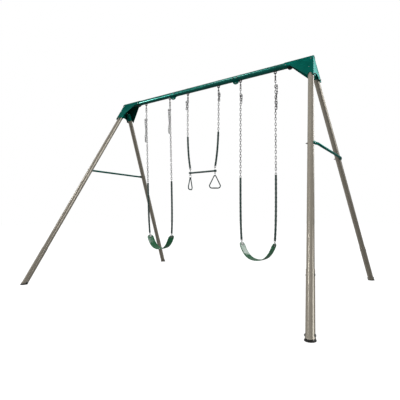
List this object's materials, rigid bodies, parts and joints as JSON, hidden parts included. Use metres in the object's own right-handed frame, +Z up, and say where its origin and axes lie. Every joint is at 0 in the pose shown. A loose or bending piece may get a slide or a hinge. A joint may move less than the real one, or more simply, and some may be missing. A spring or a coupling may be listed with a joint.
{
  "type": "swing set",
  "caption": "Tall A-frame steel swing set: belt swings and a trapeze bar with hand rings hang on chains from a sectional top beam.",
  "frame": {"origin": "on the ground midway between the four feet, below the middle of the top beam", "axes": "+X along the top beam towards its right end, +Y from front to back, +Z up"},
  "size_m": [4.346, 2.998, 3.054],
  "materials": {
    "green_paint": "glossy powder coat",
    "taupe_paint": "satin powder coat",
    "zinc_plate": "zinc plated",
    "black_plastic": "moulded",
    "grip_vinyl": "soft vinyl dip",
    "belt_rubber": "smooth flexible belt",
    "bar_coat": "coated steel"
  },
  "bodies": {
    "frame": {"beam_center": "green_paint", "beam_left": "green_paint", "beam_right": "green_paint", "joint_saddle_left": "green_paint", "joint_saddle_right": "green_paint", "end_bracket_left": "green_paint", "end_bracket_right": "green_paint", "cross_brace_left": "green_paint", "cross_brace_right": "green_paint", "upper_leg_front_left": "taupe_paint", "upper_leg_front_right": "taupe_paint", "upper_leg_rear_left": "taupe_paint", "upper_leg_rear_right": "taupe_paint", "lower_leg_front_left": "taupe_paint", "lower_leg_front_right": "taupe_paint", "lower_leg_rear_left": "taupe_paint", "lower_leg_rear_right": "taupe_paint", "foot_cap_front_left": "black_plastic", "foot_cap_front_right": "black_plastic", "foot_cap_rear_left": "black_plastic", "foot_cap_rear_right": "black_plastic", "beam_cap_left": "black_plastic", "beam_cap_right": "black_plastic", "beam_stop_left": "black_plastic", "beam_stop_right": "black_plastic", "brace_bolt_front_left": "zinc_plate", "brace_bolt_front_right": "zinc_plate", "brace_bolt_rear_left": "zinc_plate", "brace_bolt_rear_right": "zinc_plate", "hanger_left_outer": "zinc_plate", "hanger_left_inner": "zinc_plate", "hanger_trapeze_left": "zinc_plate", "hanger_trapeze_right": "zinc_plate", "hanger_right_inner": "zinc_plate", "hanger_right_outer": "zinc_plate"},
    "left_swing": {"pendulum_left_outer": "zinc_plate", "pendulum_left_inner": "zinc_plate", "chain_left_outer": "zinc_plate", "chain_left_inner": "zinc_plate", "grip_left_outer": "grip_vinyl", "grip_left_inner": "grip_vinyl"},
    "left_seat": {"belt_seat_left": "belt_rubber"},
    "right_swing": {"pendulum_right_outer": "zinc_plate", "pendulum_right_inner": "zinc_plate", "chain_right_outer": "zinc_plate", "chain_right_inner": "zinc_plate", "grip_right_outer": "grip_vinyl", "grip_right_inner": "grip_vinyl"},
    "right_seat": {"belt_seat_right": "belt_rubber"},
    "trapeze": {"pendulum_trapeze_left": "zinc_plate", "pendulum_trapeze_right": "zinc_plate", "chain_trapeze_left": "zinc_plate", "chain_trapeze_right": "zinc_plate", "grip_trapeze_left": "grip_vinyl", "grip_trapeze_right": "grip_vinyl"},
    "trapeze_bar": {"trapeze_bar": "bar_coat"},
    "left_ring_link": {"ring_link_left": "zinc_plate"},
    "left_ring": {"trapeze_ring_left": "bar_coat"},
    "right_ring_link": {"ring_link_right": "zinc_plate"},
    "right_ring": {"trapeze_ring_right": "bar_coat"}
  },
  "joints": [
    {"name": "left_swing_hinge", "type": "hinge", "parent": "frame", "child": "left_swing", "pos_m": [-0.9675, 0, 2.9365], "axis": [1, 0, 0], "range_deg": [-63.3, 56.7]},
    {"name": "left_seat_rock", "type": "hinge", "parent": "left_swing", "child": "left_seat", "pos_m": [-0.9675, 0.13041, 0.67476], "axis": [1, 0, 0], "range_deg": [-35, 35]},
    {"name": "right_swing_hinge", "type": "hinge", "parent": "frame", "child": "right_swing", "pos_m": [0.9675, 0, 2.9365], "axis": [1, 0, 0], "range_deg": [-58.6, 61.4]},
    {"name": "right_seat_rock", "type": "hinge", "parent": "right_swing", "child": "right_seat", "pos_m": [0.9675, -0.05638, 0.62969], "axis": [1, 0, 0], "range_deg": [-35, 35]},
    {"name": "trapeze_swing_hinge", "type": "hinge", "parent": "frame", "child": "trapeze", "pos_m": [0, 0, 2.9365], "axis": [1, 0, 0], "range_deg": [-60, 60]},
    {"name": "trapeze_bar_rock", "type": "hinge", "parent": "trapeze", "child": "trapeze_bar", "pos_m": [0, 0, 1.7], "axis": [1, 0, 0], "range_deg": [-35, 35]},
    {"name": "left_link_swing", "type": "hinge", "parent": "trapeze_bar", "child": "left_ring_link", "pos_m": [-0.234, 0, 1.6211], "axis": [0.9511, 0.309, 0], "range_deg": [-40, 40]},
    {"name": "left_ring_turn", "type": "hinge", "parent": "left_ring_link", "child": "left_ring", "pos_m": [-0.234, 0, 1.56], "axis": [0, 0, 1], "range_deg": [-30, 30]},
    {"name": "right_link_swing", "type": "hinge", "parent": "trapeze_bar", "child": "right_ring_link", "pos_m": [0.234, 0, 1.6211], "axis": [-0.342, 0.9397, 0], "range_deg": [-40, 40]},
    {"name": "right_ring_turn", "type": "hinge", "parent": "right_ring_link", "child": "right_ring", "pos_m": [0.234, 0, 1.56], "axis": [0, 0, 1], "range_deg": [-45, 16]}
  ]
}
